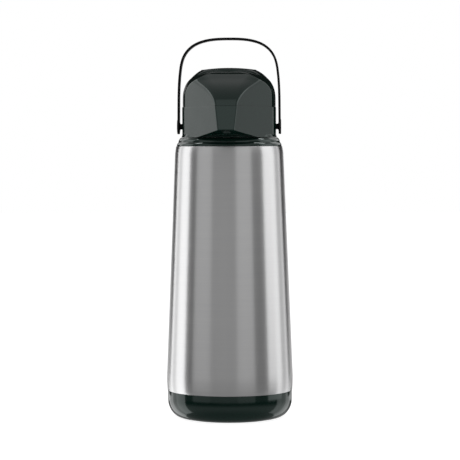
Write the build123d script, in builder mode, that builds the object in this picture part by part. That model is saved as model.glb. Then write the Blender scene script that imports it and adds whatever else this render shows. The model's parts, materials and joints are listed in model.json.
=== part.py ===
"""Thermal coffee airpot: a glass-lined flask in a tapered steel casing, with a pump head and a bail.

Units are millimetres. The origin is the centre of the underside, on the vessel's own axis.
+Z is up and the beak with its spout points along -Y. The bail is upright and the push button
is up. The head turns with its coupling ring and then lifts straight off the vessel.
"""

import math
import os

from build123d import *

os.makedirs("parts", exist_ok=True)

# Running gap between faces that belong to different moving bodies
GAP = 0.3

# Steel casing
CASING_WALL = 0.6
CASING_BOTTOM_Z = 27.8
CASING_TOP_Z = 271.5
CASING_BOTTOM_R = 62.5
CASING_TOP_R = 52.9
CONE_LOW = (62.88, 47.0)
CONE_HIGH = (54.11, 263.5)

# Base cup, foot and base cap
CUP_R = 62.3
CUP_FLOOR_Z = 0.6
CUP_CURVE_Z = 19.6
CUP_FLAT_R = 47.3
CAP_R = 24.0
FOOT_IN_R = 38.0
FOOT_OUT_R = 46.0
FOOT_TOP_Z = 1.6

# Glass flask: two walls fused at the mouth
FLASK_R = 49.0
GLASS = 1.6
DOME_Z = 66.0
SHOULDER_Z = 222.0
NECK_Z = 256.0
NECK_R = 34.0
MOUTH_Z = 271.0
GLASS_TOP_Z = 268.0
FLASK_BOTTOM_Z = 24.0
LINER_R = 45.2
LINER_NECK_R = 30.8
LINER_BOTTOM_Z = 28.4

# Collar between casing and head
COLLAR_TOP_Z = 280.0
COLLAR_BORE_R = 45.0

# Pump head
HEAD_Z = 280.3
SEAM_Z = 310.4
LOWER_R = 46.95
UPPER_R = 46.4
SIDE_SLOPE = math.atan(0.545)
SIDE_STEP = 0.47
HEAD_WALL = 2.2
ROOF_Z = 347.4
CROWN_R = 170.0
BEAK_START_Y = -43.0
BEAK_TIP = (-83.0, 286.9)
NOSE_SEAM_Y = -78.2
UPPER_NOSE_Y = -77.7
FORM_Z = 300.0
INNER_SCALE = 1 - HEAD_WALL / UPPER_R
SPOUT_Y = -67.0

# Push button and pump
BUTTON_X = 27.7
BUTTON_Y = 27.0
BUTTON_CORNER = 20.0
BUTTON_TOP_Z = 349.4
BUTTON_CROWN_R = 185.0
SKIRT_Z = 334.0
PLATE_Z = 295.6
PLUNGER_Z = 326.0
POSTS = [(25.5, 25.5), (-25.5, 25.5), (25.5, -25.5), (-25.5, -25.5)]
TUBE_Y = -20.0
LOCK_Z = 331.7

# Bail
PIVOT_Z = 291.0
ARM_IN_X = 49.3
ARM_OUT_X = 51.9
BAIL_TOP_Z = 379.6
BAIL_THICK = 2.3
BAIL_WIDTH = 11.0


def flask_skin(radius, neck_r, dome_bottom, shoulder_z, neck_z, top_z):
    """Half outline of one glass skin: dome, straight wall, soft shoulder and neck."""
    dome = EllipticalCenterArc((0, DOME_Z), radius, DOME_Z - dome_bottom, 270, arc_size=90)
    wall = Line(dome @ 1, (radius, shoulder_z))
    shoulder = Spline(
        wall @ 1, (neck_r, neck_z), tangents=[(0, 1), (0, 1)], tangent_scalars=[1.1, 1.1]
    )
    return Line(shoulder @ 1, (neck_r, top_z))


def flask_block(top_z=GLASS_TOP_Z):
    """Solid half section of everything inside the flask's outer skin."""
    with BuildLine() as outline:
        neck = flask_skin(FLASK_R, NECK_R, FLASK_BOTTOM_Z, SHOULDER_Z, NECK_Z, top_z)
        Polyline(neck @ 1, (0, top_z), (0, FLASK_BOTTOM_Z))
    make_face(outline.edges())


def side_points(radius, inset):
    """Crease and front point of the flat right side of the head, seen from above."""
    reach = radius - SIDE_STEP - inset
    radius = radius - inset
    back = math.sqrt(radius**2 - reach**2)
    cos_a = math.cos(SIDE_SLOPE)
    sin_a = math.sin(SIDE_SLOPE)
    crease = (reach * cos_a + back * sin_a, -reach * sin_a + back * cos_a)
    front_y = -92.0
    run = (crease[1] - front_y) * math.tan(SIDE_SLOPE)
    return crease, (crease[0] - run, front_y)


def head_plan(radius, inset=0.0):
    """Plan of the head: round at the back, two flat sides running to the nose."""
    crease, front = side_points(radius, inset)
    with BuildLine() as outline:
        ThreePointArc(crease, (0, radius - inset), (-crease[0], crease[1]))
        Line(crease, front)
        Line(front, (-front[0], front[1]))
        Line((-front[0], front[1]), (-crease[0], crease[1]))
    make_face(outline.edges())


def roof_half(top_z=ROOF_Z):
    """Right half of the head's arched cross-section, from FORM_Z up to the roof."""
    with BuildLine() as outline:
        side = Line((UPPER_R, FORM_Z), (UPPER_R, 313.0))
        arch = Spline(
            side @ 1,
            (45.6, 326.3),
            (43.5, 332.3),
            (39.15, 338.3),
            (33.6, 342.3),
            (26.0, 345.4),
            (0, top_z),
            tangents=[(0, 1), (-1, 0)],
        )
        Polyline(arch @ 1, (0, FORM_Z), (UPPER_R, FORM_Z))
    make_face(outline.edges())


def button_plan(inset=0.0):
    """Plan of the push button, a square with large soft corners."""
    RectangleRounded(2 * (BUTTON_X - inset), 2 * (BUTTON_Y - inset), BUTTON_CORNER - inset)


def tube(inner, outer, low, high):
    """Half section of a plain ring about the Z axis."""
    with Locations(((inner + outer) / 2, (low + high) / 2)):
        Rectangle(outer - inner, high - low)


# ---------------------------------------------------------------- vessel

# Thin steel casing, rolled in at both ends
with BuildPart() as outer_casing:
    with BuildSketch(Plane.XZ):
        with BuildLine():
            foot = ThreePointArc((CASING_BOTTOM_R, CASING_BOTTOM_Z), (63.04, 37.0), CONE_LOW)
            cone = Line(foot @ 1, CONE_HIGH)
            lip = TangentArc(cone @ 1, (CASING_TOP_R, CASING_TOP_Z), tangent=cone % 1)
            Polyline(
                lip @ 1,
                (49.5, CASING_TOP_Z),
                (49.5, CASING_TOP_Z - CASING_WALL),
                (52.3, CASING_TOP_Z - CASING_WALL),
                (CONE_HIGH[0] - CASING_WALL, CONE_HIGH[1]),
                (CONE_LOW[0] - CASING_WALL, CONE_LOW[1]),
                (62.44, 37.0),
                (61.9, CASING_BOTTOM_Z + CASING_WALL),
                (60.6, CASING_BOTTOM_Z + CASING_WALL),
                (60.6, CASING_BOTTOM_Z),
                foot @ 0,
            )
        make_face()
    revolve(axis=Axis.Z)
outer_casing.part.label = "outer_casing"
export_step(outer_casing.part, "parts/outer_casing.step")

# Glossy base cup with a spigot up inside the casing and a boss for the base cap
with BuildPart() as base_cup:
    with BuildSketch(Plane.XZ):
        with BuildLine():
            outer = EllipticalCenterArc(
                (CUP_FLAT_R, CUP_CURVE_Z),
                CUP_R - CUP_FLAT_R,
                CUP_CURVE_Z - CUP_FLOOR_Z,
                270,
                arc_size=90,
            )
            inner = EllipticalCenterArc((45.0, 20.0), 14.9, 17.0, 270, arc_size=90)
            Polyline(
                outer @ 1,
                (CUP_R, CASING_BOTTOM_Z),
                (60.4, CASING_BOTTOM_Z),
                (60.4, 40.0),
                (58.4, 40.0),
                (58.4, 26.0),
                (59.9, 24.5),
                inner @ 1,
            )
            Polyline(inner @ 0, (27.0, 3.0), (27.0, 10.0), (CAP_R, 10.0), (CAP_R, CUP_FLOOR_Z), outer @ 0)
        make_face()
        with Locations(((FOOT_IN_R + FOOT_OUT_R) / 2, FOOT_TOP_Z / 2)):
            Rectangle(FOOT_OUT_R - FOOT_IN_R, FOOT_TOP_Z, mode=Mode.SUBTRACT)
    revolve(axis=Axis.Z)
base_cup.part.label = "base_cup"
export_step(base_cup.part, "parts/base_cup.step")

# Rubber ring the airpot stands on
with BuildPart() as foot_ring:
    with BuildSketch(Plane.XZ):
        tube(FOOT_IN_R, FOOT_OUT_R, 0, FOOT_TOP_Z)
    revolve(axis=Axis.Z)
    chamfer(foot_ring.edges().group_by(Axis.Z)[0], 0.4)
foot_ring.part.label = "foot_ring"
export_step(foot_ring.part, "parts/foot_ring.step")

# Screw-in base cap with a grip bar across its recess
with BuildPart() as base_cap:
    with BuildSketch(Plane.XY.offset(1.6)):
        Circle(CAP_R - 0.05)
    extrude(amount=9.4)
    with BuildSketch(Plane.XY.offset(1.6)):
        Circle(18.0)
        Rectangle(40.0, 6.0, mode=Mode.SUBTRACT)
    extrude(amount=5.0, mode=Mode.SUBTRACT)
base_cap.part.label = "base_cap"
export_step(base_cap.part, "parts/base_cap.step")

# Rubber cushion that carries the bottom of the flask
with BuildPart() as base_cushion:
    with BuildSketch(Plane.XZ):
        tube(7.0, 30.0, 11.0, 32.0)
    revolve(axis=Axis.Z)
    with BuildSketch(Plane.XZ):
        flask_block()
    revolve(axis=Axis.Z, mode=Mode.SUBTRACT)
base_cushion.part.label = "base_cushion"
export_step(base_cushion.part, "parts/base_cushion.step")

# Outer glass wall with its sealed tip
with BuildPart() as flask_outer:
    with BuildSketch(Plane.XZ):
        flask_block()
    revolve(axis=Axis.Z)
    with BuildSketch(Plane.XZ):
        with BuildLine():
            tip = Line((0, 15.5), (1.6, 16.2))
            Polyline(tip @ 1, (3.6, 26.0), (0, 26.0), tip @ 0)
        make_face()
    revolve(axis=Axis.Z)
    with BuildSketch(Plane.XZ):
        with BuildLine():
            bottom_z = FLASK_BOTTOM_Z + GLASS
            skin = flask_skin(
                FLASK_R - GLASS, NECK_R - GLASS, bottom_z, SHOULDER_Z, NECK_Z, GLASS_TOP_Z
            )
            Polyline(skin @ 1, (0, GLASS_TOP_Z), (0, bottom_z))
        make_face()
    revolve(axis=Axis.Z, mode=Mode.SUBTRACT)
flask_outer.part.label = "flask_outer"
export_step(flask_outer.part, "parts/flask_outer.step")

# Inner glass liner; its rolled lip closes the vacuum space
with BuildPart() as flask_inner:
    with BuildSketch(Plane.XZ):
        with BuildLine():
            skin = flask_skin(LINER_R, LINER_NECK_R, LINER_BOTTOM_Z, 220.0, 254.0, GLASS_TOP_Z)
            lip = Polyline(skin @ 1, (NECK_R, GLASS_TOP_Z), (NECK_R, 269.4))
            curl = ThreePointArc(lip @ 1, (33.4, 270.4), (32.2, MOUTH_Z))
            Polyline(curl @ 1, (0, MOUTH_Z), (0, LINER_BOTTOM_Z))
        make_face()
    revolve(axis=Axis.Z)
    with BuildSketch(Plane.XZ):
        with BuildLine():
            bottom_z = LINER_BOTTOM_Z + GLASS
            bore = flask_skin(LINER_R - GLASS, LINER_NECK_R - GLASS, bottom_z, 220.0, 254.0, 269.6)
            flare = ThreePointArc(bore @ 1, (29.7, 270.45), (30.6, MOUTH_Z))
            Polyline(flare @ 1, (0, MOUTH_Z), (0, bottom_z))
        make_face()
    revolve(axis=Axis.Z, mode=Mode.SUBTRACT)
flask_inner.part.label = "flask_inner"
export_step(flask_inner.part, "parts/flask_inner.step")

# Three pads that keep the glass walls apart
with BuildPart() as flask_spacers:
    for turn in (30, 150, 270):
        with BuildSketch(Plane.XZ.rotated((0, 0, turn))):
            tube(LINER_R, FLASK_R - GLASS, 90.0, 98.0)
        revolve(axis=Axis.Z, revolution_arc=10)
flask_spacers.part.label = "flask_spacers"
export_step(flask_spacers.part, "parts/flask_spacers.step")

# Ribbed collar: closes the casing's top and carries the coupling ring
with BuildPart() as collar_ring:
    with BuildSketch(Plane.XZ):
        with BuildLine():
            rib_low = ThreePointArc((52.4, CASING_TOP_Z), (52.05, 273.6), (50.75, 275.3))
            rib_high = ThreePointArc(rib_low @ 1, (50.1, 278.0), (48.3, COLLAR_TOP_Z))
            Polyline(
                rib_high @ 1,
                (COLLAR_BORE_R, COLLAR_TOP_Z),
                (COLLAR_BORE_R, 268.0),
                (38.2, 268.0),
                (38.2, 264.0),
                (49.2, 264.0),
                (49.2, CASING_TOP_Z),
                rib_low @ 0,
            )
        make_face()
    revolve(axis=Axis.Z)
collar_ring.part.label = "collar_ring"
export_step(collar_ring.part, "parts/collar_ring.step")

# Rubber gasket between the flask's shoulder and the collar
with BuildPart() as neck_gasket:
    with BuildSketch(Plane.XZ):
        tube(NECK_R, 38.2, 262.0, 267.0)
        tube(NECK_R - 1, 44.0, 252.0, 264.0)
    revolve(axis=Axis.Z)
    with BuildSketch(Plane.XZ):
        flask_block()
    revolve(axis=Axis.Z, mode=Mode.SUBTRACT)
neck_gasket.part.label = "neck_gasket"
export_step(neck_gasket.part, "parts/neck_gasket.step")

# Coupling ring that turns in the collar and frees the head
with BuildPart() as coupling_ring:
    with BuildSketch(Plane.XZ):
        tube(41.0, COLLAR_BORE_R - GAP, 268.0 + GAP, COLLAR_TOP_Z - GAP)
    revolve(axis=Axis.Z)
    chamfer(coupling_ring.edges(), 0.4)
coupling_ring.part.label = "coupling_ring"
export_step(coupling_ring.part, "parts/coupling_ring.step")

# ---------------------------------------------------------------- pump head, outside

# Hollow of the lower shell, used only for cutting
with BuildPart() as lower_room:
    with BuildSketch(Plane.XY.offset(HEAD_Z - 1)):
        head_plan(LOWER_R, HEAD_WALL)
    extrude(amount=SEAM_Z - HEAD_Z + 2)
    with BuildSketch(Plane.YZ):
        with BuildLine():
            Polyline((60, 279), (-80.3, 279), (-75.6, 312.5), (60, 312.5), (60, 279))
        make_face()
    extrude(amount=60.0, both=True, mode=Mode.INTERSECT)

# Lower shell: round back and sides, flat flanks, a leaning nose and an arched front edge
with BuildPart() as head_body:
    with BuildSketch(Plane.XY.offset(HEAD_Z)):
        head_plan(LOWER_R)
    extrude(amount=SEAM_Z - HEAD_Z)
    with BuildSketch(Plane.YZ):
        with BuildLine():
            Polyline(
                (60, HEAD_Z),
                (BEAK_START_Y, HEAD_Z),
                BEAK_TIP,
                (NOSE_SEAM_Y, SEAM_Z),
                (60, SEAM_Z),
                (60, HEAD_Z),
            )
        make_face()
    extrude(amount=60.0, both=True, mode=Mode.INTERSECT)
    uprights = head_body.edges().filter_by(
        lambda e: e.length > 15 and abs(e.tangent_at(0.5).Z) > 0.9 and e.center().Y < -10
    )
    fillet(uprights, 1.2)
    add(lower_room.part, mode=Mode.SUBTRACT)
    with BuildSketch(Plane.XZ):
        with BuildLine():
            Polyline(
                (COLLAR_BORE_R - GAP, HEAD_Z),
                (47.7, HEAD_Z),
                (47.6, 281.0),
                (LOWER_R, 283.3),
                (COLLAR_BORE_R - GAP, 283.3),
                (COLLAR_BORE_R - GAP, HEAD_Z),
            )
        make_face()
    revolve(axis=Axis.Z)
    with BuildSketch(Plane.YZ):
        with Locations((0, PIVOT_Z)):
            Circle(3.7)
    extrude(amount=60.0, both=True, mode=Mode.SUBTRACT)
head_body.part.label = "head_body"
export_step(head_body.part, "parts/head_body.step")

# Closed outer form of the upper shell, hollowed below by a scaled copy of itself
with BuildPart() as upper_form:
    with BuildSketch(Plane.XZ):
        roof_half()
    revolve(axis=Axis.Z, revolution_arc=180)
    with BuildSketch(Plane.XZ):
        roof_half()
        mirror(about=Plane.YZ)
    revolve(
        axis=Axis((0, 0, ROOF_Z - CROWN_R), (1, 0, 0)),
        revolution_arc=35,
    )
    with BuildSketch(Plane.XY.offset(FORM_Z)):
        head_plan(UPPER_R)
    extrude(amount=60.0, mode=Mode.INTERSECT)
    with BuildSketch(Plane.YZ):
        with BuildLine():
            nose = Line((UPPER_NOSE_Y - 2.2, FORM_Z), (UPPER_NOSE_Y, SEAM_Z))
            brow = Spline(
                nose @ 1,
                (-75.3, 318.5),
                (-70.8, 326.2),
                (-63.8, 332.2),
                (-52.0, 337.6),
                (-36.0, 343.6),
                tangents=[(0.21, 1), (1, 0.42)],
            )
            Polyline(brow @ 1, (-20, 350.3), (-20, 360), (60, 360), (60, FORM_Z), nose @ 0)
        make_face()
    extrude(amount=60.0, both=True, mode=Mode.INTERSECT)
upper_room = Pos(0, 0, FORM_Z * (1 - INNER_SCALE)) * scale(upper_form.part, by=INNER_SCALE)

# Upper shell with the button opening, its guide wall and the slot of the lock
with BuildPart() as head_cover:
    add(upper_form.part)
    add(upper_room, mode=Mode.SUBTRACT)
    with BuildSketch(Plane.XY.offset(328.0)):
        button_plan(-GAP - 1.6)
    extrude(amount=14.0)
    with BuildSketch(Plane.XY.offset(326.0)):
        button_plan(-GAP)
    extrude(amount=30.0, mode=Mode.SUBTRACT)
    with Locations((0, 38.0, LOCK_Z)):
        Box(12.8, 24.0, 4.0, mode=Mode.SUBTRACT)
    split(bisect_by=Plane.XY.offset(SEAM_Z), keep=Keep.TOP)
head_cover.part.label = "head_cover"
export_step(head_cover.part, "parts/head_cover.step")

# Sloping plate that closes the beak from below
with BuildPart() as beak_plate:
    with BuildSketch(Plane.YZ):
        with BuildLine():
            lower = Polyline((-14, 281.1), (BEAK_START_Y, 281.1), (-86, 288.3))
            upper = Polyline((-86, 290.3), (BEAK_START_Y, 283.1), (-14, 283.1))
            Line(lower @ 1, upper @ 0)
            Line(upper @ 1, lower @ 0)
        make_face()
    extrude(amount=60.0, both=True)
    add(lower_room.part, mode=Mode.INTERSECT)
    with BuildSketch(Plane.XY.offset(HEAD_Z)):
        Circle(47.7)
        with Locations((0, SPOUT_Y)):
            Circle(7.0)
    extrude(amount=20.0, mode=Mode.SUBTRACT)
beak_plate.part.label = "beak_plate"
export_step(beak_plate.part, "parts/beak_plate.step")

# ---------------------------------------------------------------- pump head, inside

# Floor of the head with the skirt that centres it in the coupling ring
with BuildPart() as head_base:
    with BuildSketch(Plane.XZ):
        tube(26.0, 44.2, HEAD_Z, 283.3)
        tube(38.0, 41.0 - GAP, 269.4, HEAD_Z)
    revolve(axis=Axis.Z)
    with BuildSketch(Plane.XY.offset(283.3)):
        with Locations(*POSTS):
            Circle(4.0)
    extrude(amount=9.3)
    with BuildSketch(Plane.XY.offset(284.6)):
        with Locations(*POSTS):
            Circle(1.25)
    extrude(amount=9.0, mode=Mode.SUBTRACT)
head_base.part.label = "head_base"
export_step(head_base.part, "parts/head_base.step")

# Stopper that hangs in the flask's mouth, with an air chimney up to the pump
with BuildPart() as stopper:
    with BuildSketch(Plane.XZ):
        tube(0.0, 28.6, 252.0, 255.0)
        tube(26.6, 28.6, 255.0, 273.0)
        tube(26.6, 37.4, 273.0, 276.0)
        tube(31.0, 34.0, 276.0, HEAD_Z)
        tube(5.0, 7.0, 255.0, 292.6)
    revolve(axis=Axis.Z)
    with BuildSketch(Plane.XY.offset(250.0)):
        Circle(5.0)
        Rectangle(12.0, 3.0, mode=Mode.SUBTRACT)
        Circle(1.0)
        with Locations((0, TUBE_Y)):
            Circle(6.0)
    extrude(amount=6.0, mode=Mode.SUBTRACT)
stopper.part.label = "stopper"
export_step(stopper.part, "parts/stopper.step")

# Flat rubber seal under the stopper's flange
with BuildPart() as stopper_seal:
    with BuildSketch(Plane.XZ):
        tube(28.6, 36.6, MOUTH_Z + GAP, 273.0)
    revolve(axis=Axis.Z)
stopper_seal.part.label = "stopper_seal"
export_step(stopper_seal.part, "parts/stopper_seal.step")

# Rubber mushroom valve that lets air into the flask
with BuildPart() as air_valve:
    with BuildSketch(Plane.XZ):
        with BuildLine():
            cap = ThreePointArc((0, 249.6), (5.0, 250.3), (7.5, 251.6))
            Polyline(cap @ 1, (7.5, 252.0), (1.0, 252.0), (1.0, 257.0), (0, 257.0), cap @ 0)
        make_face()
    revolve(axis=Axis.Z)
air_valve.part.label = "air_valve"
export_step(air_valve.part, "parts/air_valve.step")

# Plate the bellows stands on, with a seat for the spring
with BuildPart() as pump_base:
    with BuildSketch(Plane.XZ):
        tube(5.0, 40.0, 292.6, PLATE_Z)
        tube(5.0, 8.0, PLATE_Z, 300.0)
        tube(25.2, 27.0, PLATE_Z, 299.0)
    revolve(axis=Axis.Z)
    with BuildSketch(Plane.XY.offset(290.0)):
        with Locations(*POSTS):
            Circle(1.25)
    extrude(amount=8.0, mode=Mode.SUBTRACT)
pump_base.part.label = "pump_base"
export_step(pump_base.part, "parts/pump_base.step")

# Four screws that hold the pump plate on its posts
with BuildPart() as head_screws:
    with BuildSketch(Plane.XY.offset(PLATE_Z)):
        with Locations(*POSTS):
            Circle(2.6)
    extrude(amount=1.8)
    with BuildSketch(Plane.XY.offset(PLATE_Z + 1.0)):
        with Locations(*POSTS):
            Rectangle(3.6, 0.8)
            Rectangle(0.8, 3.6)
    extrude(amount=1.0, mode=Mode.SUBTRACT)
    with BuildSketch(Plane.XY.offset(285.0)):
        with Locations(*POSTS):
            Circle(1.25)
    extrude(amount=PLATE_Z - 285.0)
head_screws.part.label = "head_screws"
export_step(head_screws.part, "parts/head_screws.step")

# Long dip tube with a notched foot
with BuildPart() as dip_tube:
    with BuildSketch(Plane.XY.offset(38.0)):
        with Locations((0, TUBE_Y)):
            Circle(4.0)
            Circle(3.0, mode=Mode.SUBTRACT)
    extrude(amount=224.0)
    with Locations((0, TUBE_Y, 38.0)):
        Box(3.0, 10.0, 5.0, mode=Mode.SUBTRACT)
dip_tube.part.label = "dip_tube"
export_step(dip_tube.part, "parts/dip_tube.step")

# Rubber grommet that seals the dip tube in the stopper
with BuildPart() as tube_grommet:
    with BuildSketch(Plane.XY.offset(250.4)):
        with Locations((0, TUBE_Y)):
            Circle(7.4)
    extrude(amount=1.6)
    with BuildSketch(Plane.XY.offset(252.0)):
        with Locations((0, TUBE_Y)):
            Circle(6.0)
    extrude(amount=4.0)
    with BuildSketch(Plane.XY.offset(250.0)):
        with Locations((0, TUBE_Y)):
            Circle(4.0)
    extrude(amount=8.0, mode=Mode.SUBTRACT)
tube_grommet.part.label = "tube_grommet"
export_step(tube_grommet.part, "parts/tube_grommet.step")

# Chamber above the dip tube in which the safety ball moves
with BuildPart() as ball_chamber:
    with BuildSketch(Plane.XZ):
        tube(4.0, 6.2, 258.0, 262.0)
        tube(5.0, 6.2, 262.0, 272.0)
        tube(3.0, 6.2, 272.0, 274.0)
        tube(4.2, 6.2, 274.0, 278.0)
    revolve(axis=Axis.Z)
    ball_chamber.part = Pos(0, TUBE_Y, 0) * ball_chamber.part
ball_chamber.part.label = "ball_chamber"
export_step(ball_chamber.part, "parts/ball_chamber.step")

# Ball that rests on the top of the dip tube
with BuildPart() as safety_ball:
    with Locations((0, TUBE_Y, 264.02)):
        Sphere(3.6)
safety_ball.part.label = "safety_ball"
export_step(safety_ball.part, "parts/safety_ball.step")

# Bent water channel from the chamber to the spout
with BuildPart() as spout_channel:
    with BuildLine(Plane.YZ) as route:
        FilletPolyline(
            (TUBE_Y, 274.0),
            (TUBE_Y, 287.6),
            (-43.0, 287.6),
            (-57.0, 297.0),
            (SPOUT_Y, 297.0),
            (SPOUT_Y, 287.5),
            radius=4.6,
        )
    with BuildSketch(Plane(origin=(0, TUBE_Y, 274.0), z_dir=(0, 0, 1))):
        Circle(4.2)
        Circle(3.0, mode=Mode.SUBTRACT)
    sweep(path=route.wires()[0])
spout_channel.part.label = "spout_channel"
export_step(spout_channel.part, "parts/spout_channel.step")

# Nozzle set back in the hole of the beak plate
with BuildPart() as spout_nozzle:
    with BuildSketch(Plane.XY.offset(286.0)):
        with Locations((0, SPOUT_Y)):
            Circle(6.4)
            Circle(3.0, mode=Mode.SUBTRACT)
    extrude(amount=1.5)
    with BuildSketch(Plane.XY.offset(287.5)):
        with Locations((0, SPOUT_Y)):
            Circle(6.4)
            Circle(4.2, mode=Mode.SUBTRACT)
    extrude(amount=4.5)
spout_nozzle.part.label = "spout_nozzle"
export_step(spout_nozzle.part, "parts/spout_nozzle.step")

# Bellows: folded rubber wall between the pump plate and the plunger
FOLDS = 5
PITCH = (PLUNGER_Z - 0.2 - PLATE_Z) / FOLDS
BELLOWS_WALL = 1.2
outside = []
for fold in range(FOLDS):
    outside.append((20.4, PLATE_Z + fold * PITCH))
    outside.append((24.4, PLATE_Z + (fold + 0.5) * PITCH))
outside.append((20.4, PLATE_Z + FOLDS * PITCH))
inside = [(r - BELLOWS_WALL, z) for r, z in reversed(outside)]
with BuildPart() as bellows:
    with BuildSketch(Plane.XZ):
        with BuildLine():
            Polyline(*outside, *inside, outside[0])
        make_face()
    revolve(axis=Axis.Z)
bellows.part.label = "bellows"
export_step(bellows.part, "parts/bellows.step")

# Return spring inside the bellows
with BuildPart() as return_spring:
    with BuildLine() as coil:
        Helix(pitch=6.9, height=28.2, radius=9.6, center=(0, 0, PLATE_Z + 1.0))
    with BuildSketch(Plane(origin=coil.line @ 0, z_dir=coil.line % 0)):
        Circle(0.9)
    sweep(path=coil.wires()[0])
return_spring.part.label = "return_spring"
export_step(return_spring.part, "parts/return_spring.step")

# Bail pivots: shouldered pins held in the head's side walls
with BuildPart() as pivot_pin_right:
    with BuildSketch(Plane.YZ.offset(42.4)):
        with Locations((0, PIVOT_Z)):
            Circle(5.8)
    extrude(amount=1.8)
    with BuildSketch(Plane.YZ.offset(44.2)):
        with Locations((0, PIVOT_Z)):
            Circle(3.7)
    extrude(amount=ARM_IN_X - GAP - 44.2)
    with BuildSketch(Plane.YZ.offset(48.1)):
        with Locations((0, PIVOT_Z)):
            Circle(5.0)
    extrude(amount=0.9)
    with BuildSketch(Plane.YZ.offset(ARM_IN_X - GAP)):
        with Locations((0, PIVOT_Z)):
            Circle(3.0)
    extrude(amount=ARM_OUT_X - ARM_IN_X + GAP)
pivot_pin_right.part.label = "pivot_pin_right"
export_step(pivot_pin_right.part, "parts/pivot_pin_right.step")

pivot_pin_left = mirror(pivot_pin_right.part, about=Plane.YZ)
pivot_pin_left.label = "pivot_pin_left"
export_step(pivot_pin_left, "parts/pivot_pin_left.step")

# ---------------------------------------------------------------- moving pieces

# Push button: crowned plate with a skirt that slides in the opening
with BuildPart() as push_button:
    with BuildSketch(Plane.XY.offset(SKIRT_Z)):
        button_plan()
    extrude(amount=18.0)
    with Locations((0, 0, BUTTON_TOP_Z - BUTTON_CROWN_R)):
        Sphere(BUTTON_CROWN_R, mode=Mode.INTERSECT)
    fillet(push_button.faces().sort_by(Axis.Z)[-1].edges(), 0.9)
    with BuildSketch(Plane.XY.offset(SKIRT_Z)):
        button_plan(1.8)
    extrude(amount=10.6, mode=Mode.SUBTRACT)
push_button.part.label = "push_button"
export_step(push_button.part, "parts/push_button.step")

# Plunger under the button: disc on the bellows, hub above and spring guide below
with BuildPart() as plunger:
    with BuildSketch(Plane.XZ):
        tube(0.0, 23.0, PLUNGER_Z, 328.4)
        tube(6.0, 8.0, 328.4, 344.6)
        tube(4.5, 7.4, 318.0, PLUNGER_Z)
    revolve(axis=Axis.Z)
    with BuildSketch(Plane.XY.offset(325.0)):
        with PolarLocations(14.0, 6):
            Circle(2.0)
    extrude(amount=5.0, mode=Mode.SUBTRACT)
plunger.part.label = "plunger"
export_step(plunger.part, "parts/plunger.step")

# Rubber flap that closes the plunger's air holes on the down stroke
with BuildPart() as inlet_flap:
    with BuildSketch(Plane.XZ):
        tube(11.0, 17.6, 325.2, PLUNGER_Z)
    revolve(axis=Axis.Z)
inlet_flap.part.label = "inlet_flap"
export_step(inlet_flap.part, "parts/inlet_flap.step")

# Lock slider: pushed in from the back, its tongue goes under the button's skirt
with BuildPart() as lock_slider:
    with Locations((0, 38.6, LOCK_Z)):
        Box(12.0, 20.6, 3.2)
    with Locations((0, 48.4, LOCK_Z)):
        Box(11.0, 3.2, 3.2)
    fillet(lock_slider.faces().sort_by(Axis.Y)[-1].edges(), 0.6)
lock_slider.part.label = "lock_slider"
export_step(lock_slider.part, "parts/lock_slider.step")

# Bail: one flat strap with round eyes at its ends
with BuildPart() as handle:
    with BuildSketch(Plane.XZ):
        with BuildLine():
            arm = Line((51.7, PIVOT_Z), (50.15, 346.0))
            bow = Spline(
                arm @ 1,
                (46.0, 362.4),
                (37.0, 372.35),
                (25.0, 377.3),
                (0, BAIL_TOP_Z),
                tangents=[(-0.028, 1), (-1, 0)],
            )
            bow_in = Spline(
                (0, BAIL_TOP_Z - BAIL_THICK),
                (24.4, 375.05),
                (35.6, 370.5),
                (43.9, 361.35),
                (50.15 - BAIL_THICK, 346.0),
                tangents=[(1, 0), (0.028, -1)],
            )
            Line(bow @ 1, bow_in @ 0)
            Polyline(bow_in @ 1, (51.7 - BAIL_THICK, PIVOT_Z), arm @ 0)
        make_face()
        mirror(about=Plane.YZ)
    extrude(amount=BAIL_WIDTH / 2, both=True)
    long_edges = handle.edges().filter_by(lambda e: e.length > 20)
    fillet(long_edges, 0.7)
    for side in (1, -1):
        with Locations((side * (ARM_IN_X + ARM_OUT_X) / 2, 0, PIVOT_Z)):
            Cylinder(7.5, ARM_OUT_X - ARM_IN_X, rotation=(0, 90, 0))
    with BuildSketch(Plane.YZ):
        with Locations((0, PIVOT_Z)):
            Circle(3.05)
    extrude(amount=60.0, both=True, mode=Mode.SUBTRACT)
handle.part.label = "handle"
export_step(handle.part, "parts/handle.step")
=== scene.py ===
"""Looks of the thermal coffee airpot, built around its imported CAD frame.

Lengths in the shape code are millimetres and are scaled to metres as the meshes are made.
+Z is up, the beak points along -Y and the origin is the centre of the underside.
"""

import json
import math

import bmesh
import bpy
import numpy as np
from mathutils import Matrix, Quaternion, Vector


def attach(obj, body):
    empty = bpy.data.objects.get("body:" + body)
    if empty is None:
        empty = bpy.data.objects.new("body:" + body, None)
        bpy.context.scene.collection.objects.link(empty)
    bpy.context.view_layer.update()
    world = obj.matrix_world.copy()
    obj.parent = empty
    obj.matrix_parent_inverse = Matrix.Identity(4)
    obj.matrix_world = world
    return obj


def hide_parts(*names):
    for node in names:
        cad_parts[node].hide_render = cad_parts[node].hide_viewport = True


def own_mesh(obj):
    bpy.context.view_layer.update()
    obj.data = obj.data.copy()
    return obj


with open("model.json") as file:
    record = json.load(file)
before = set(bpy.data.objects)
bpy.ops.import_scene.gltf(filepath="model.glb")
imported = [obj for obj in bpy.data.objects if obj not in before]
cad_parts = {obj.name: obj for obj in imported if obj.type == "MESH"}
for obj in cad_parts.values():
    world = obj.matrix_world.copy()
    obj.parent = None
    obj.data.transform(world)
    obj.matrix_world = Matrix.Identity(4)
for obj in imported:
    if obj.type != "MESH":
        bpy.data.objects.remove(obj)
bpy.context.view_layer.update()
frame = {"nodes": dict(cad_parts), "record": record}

MM = 0.001

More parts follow.
